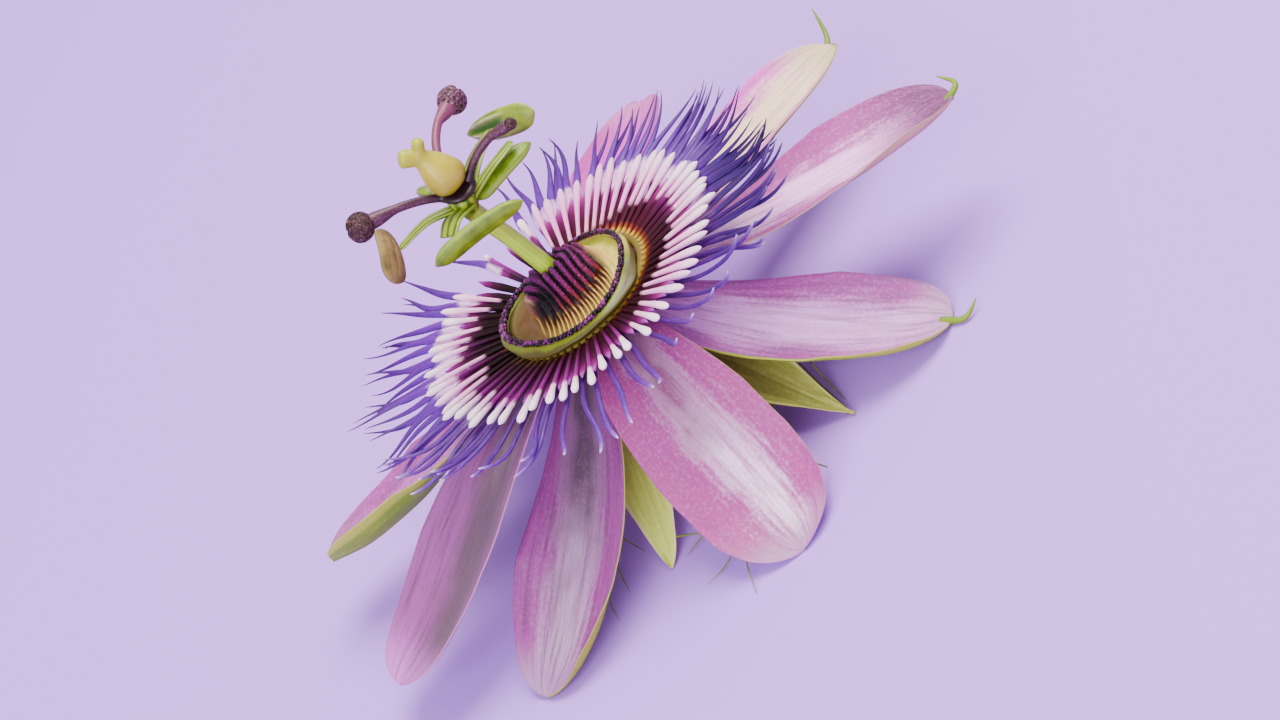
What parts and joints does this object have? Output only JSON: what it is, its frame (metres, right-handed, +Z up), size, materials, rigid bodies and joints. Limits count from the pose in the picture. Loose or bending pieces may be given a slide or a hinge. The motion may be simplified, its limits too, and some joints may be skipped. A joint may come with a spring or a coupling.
{
  "type": "passion flower",
  "caption": "Cut passion flower resting face up on its bent-back petals, with a filament crown, a beaded cup and a raised column of stamens and styles.",
  "frame": {"origin": "middle of the base, on the surface that the flower rests on", "axes": "+Z up along the axis of the flower, +X to the right and -Y to the front"},
  "size_m": [0.0946, 0.0824, 0.0526],
  "materials": {
    "green_tube": "smooth yellow-green flesh, satin",
    "violet_filaments": "satin violet threads, paler at the tips and near black at the roots",
    "white_clubs": "satin white tips on magenta and maroon banded threads",
    "purple_beads": "moist dark purple knobs",
    "pleated_operculum": "pleated membrane, yellow at the edge and granular purple on the dome",
    "green_column": "smooth light green, satin",
    "green_anther": "smooth bright green back, pale rim",
    "cream_ovary": "smooth waxy cream",
    "purple_style": "speckled purple, satin",
    "granular_stigma": "granular dull purple-brown",
    "pink_sepal": "veined pink and lilac face, light green back",
    "pink_petal": "veined pink and lilac, paler in the middle",
    "green_bract": "matt green leaf with darker veins"
  },
  "bodies": {
    "root": {"floral_tube": "green_tube", "corona_outer": "violet_filaments", "corona_inner": "white_clubs", "cup_beads": "purple_beads", "operculum": "pleated_operculum", "androgynophore": "green_column", "stamen_filaments": "green_column", "anther_1": "green_anther", "anther_2": "green_anther", "anther_3": "green_anther", "anther_4": "green_anther", "anther_5": "green_anther", "ovary": "cream_ovary", "styles": "purple_style", "stigma_1": "granular_stigma", "stigma_2": "granular_stigma", "stigma_3": "granular_stigma", "sepal_1": "pink_sepal", "sepal_2": "pink_sepal", "sepal_3": "pink_sepal", "sepal_4": "pink_sepal", "sepal_5": "pink_sepal", "petal_1": "pink_petal", "petal_2": "pink_petal", "petal_3": "pink_petal", "petal_4": "pink_petal", "petal_5": "pink_petal", "bract_1": "green_bract", "bract_2": "green_bract", "bract_3": "green_bract"}
  },
  "joints": []
}
